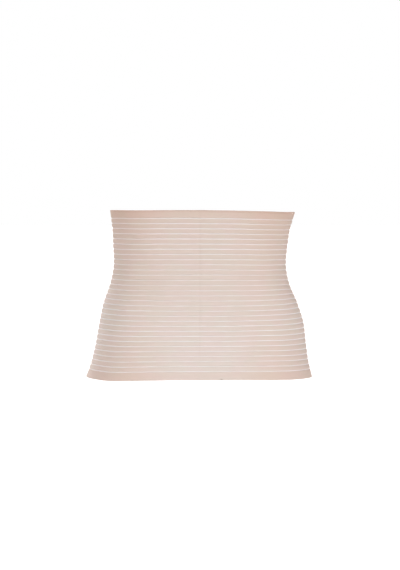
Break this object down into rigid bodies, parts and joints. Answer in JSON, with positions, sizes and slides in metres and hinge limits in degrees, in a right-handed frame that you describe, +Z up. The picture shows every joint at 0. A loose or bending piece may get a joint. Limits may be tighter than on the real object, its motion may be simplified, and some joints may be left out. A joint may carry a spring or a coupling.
{
  "type": "abdominal binder",
  "caption": "Ribbed elastic abdominal binder as worn: an hourglass cloth wall round the waist and hips, its ends overlapped at the belly over a tape of hooks.",
  "frame": {"origin": "on the axis of the wearer's body, at the narrowest level of the waist", "axes": "+Z up along the body, -Y towards the wearer's back (the side that the picture shows), +Y towards the belly and the closure, +X to the picture's right"},
  "size_m": [0.3453, 0.2129, 0.2578],
  "materials": {
    "elastic": "matt ribbed elastic cloth, beige ribs with paler lines between them",
    "hook_tape": "woven tape with moulded hooks"
  },
  "bodies": {
    "root": {"elastic_panel": "elastic", "hook_tape": "hook_tape"}
  },
  "joints": []
}
